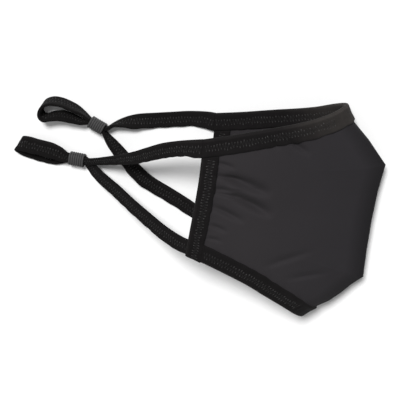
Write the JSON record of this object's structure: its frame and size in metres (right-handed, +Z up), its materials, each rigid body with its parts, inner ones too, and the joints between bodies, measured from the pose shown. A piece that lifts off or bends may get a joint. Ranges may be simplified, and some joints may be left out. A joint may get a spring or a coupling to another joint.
{
  "type": "cloth face mask",
  "caption": "Reusable cloth face mask with a centre seam, elastic edge bindings and folded elastic ear straps with ribbed rubber sliders, lying on its side",
  "frame": {"origin": "centre of the whole mask's footprint, on the floor it lies on", "axes": "X from the strap ends to the nose tip, Y from the chin edge to the nose edge, Z up from the floor, out of the wearer's right cheek"},
  "size_m": [0.2481, 0.1451, 0.0502],
  "materials": {
    "panel_cloth": "fine smooth knit, soft sheen, charcoal black",
    "edge_elastic": "folded elastic braid with two rows of zigzag stitches, black",
    "strap_elastic": "folded elastic braid, black",
    "slider_rubber": "matt ribbed rubber, dark grey"
  },
  "bodies": {
    "root": {"right_panel": "panel_cloth", "left_panel": "panel_cloth", "top_binding": "edge_elastic", "bottom_binding": "edge_elastic", "side_binding_right": "edge_elastic", "side_binding_left": "edge_elastic", "ear_strap_right": "strap_elastic", "ear_strap_left": "strap_elastic", "slider_right": "slider_rubber", "slider_left": "slider_rubber"}
  },
  "joints": []
}
